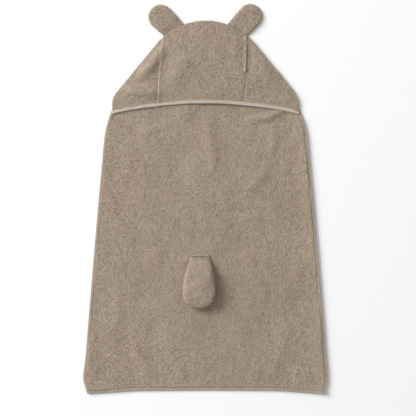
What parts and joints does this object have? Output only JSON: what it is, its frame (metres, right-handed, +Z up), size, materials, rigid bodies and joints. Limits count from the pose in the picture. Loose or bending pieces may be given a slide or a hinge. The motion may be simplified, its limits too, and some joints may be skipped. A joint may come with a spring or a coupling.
{
  "type": "hooded baby towel",
  "caption": "Terry towel with bound edges that tapers up to a sewn-on three-panel hood with two padded ears, and a stuffed tail hung from a tab; laid flat.",
  "frame": {"origin": "middle of the towel's outline, on the surface that it lies on", "axes": "+X to the right across the towel, +Y towards the hood's crown, +Z up, out of the face that carries the hood and the tail"},
  "size_m": [0.694, 1.0954, 0.0398],
  "materials": {
    "terry": "taupe terry loops, matt",
    "edge_tape": "plain-woven cotton tape, matt",
    "mouth_tape": "pale plain-woven cotton tape, matt",
    "thread": "spun polyester sewing thread",
    "wadding": "white polyester fibre, matt"
  },
  "bodies": {
    "towel": {"body_panel": "terry", "left_side_binding": "edge_tape", "right_side_binding": "edge_tape", "bottom_binding": "edge_tape", "left_side_stitching": "thread", "right_side_stitching": "thread", "bottom_stitching": "thread", "hood_left_panel": "terry", "hood_centre_panel": "terry", "hood_right_panel": "terry", "hood_mouth_binding": "mouth_tape", "mouth_stitching": "thread", "hood_left_seam_thread": "thread", "hood_right_seam_thread": "thread", "hood_outline_thread": "thread", "tail_tab": "terry", "tail_stitching": "thread"},
    "left_ear": {"left_ear_front": "terry", "left_ear_back": "terry", "left_ear_wadding": "wadding"},
    "right_ear": {"right_ear_front": "terry", "right_ear_back": "terry", "right_ear_wadding": "wadding"},
    "tail": {"tail_upper_shell": "terry", "tail_lower_shell": "terry", "tail_stuffing": "wadding"}
  },
  "joints": [
    {"name": "left_ear_fold", "type": "hinge", "parent": "towel", "child": "left_ear", "pos_m": [-0.09136, 0.47864, 0.0079], "axis": [0.8616, 0.5075, 0], "range_deg": [0, 150]},
    {"name": "right_ear_fold", "type": "hinge", "parent": "towel", "child": "right_ear", "pos_m": [0.09136, 0.47864, 0.0079], "axis": [0.8616, -0.5075, 0], "range_deg": [0, 150]},
    {"name": "tail_lift", "type": "hinge", "parent": "towel", "child": "tail", "pos_m": [-0.016, -0.16546, 0.0075], "axis": [-1, 0, 0], "range_deg": [0, 145]}
  ]
}
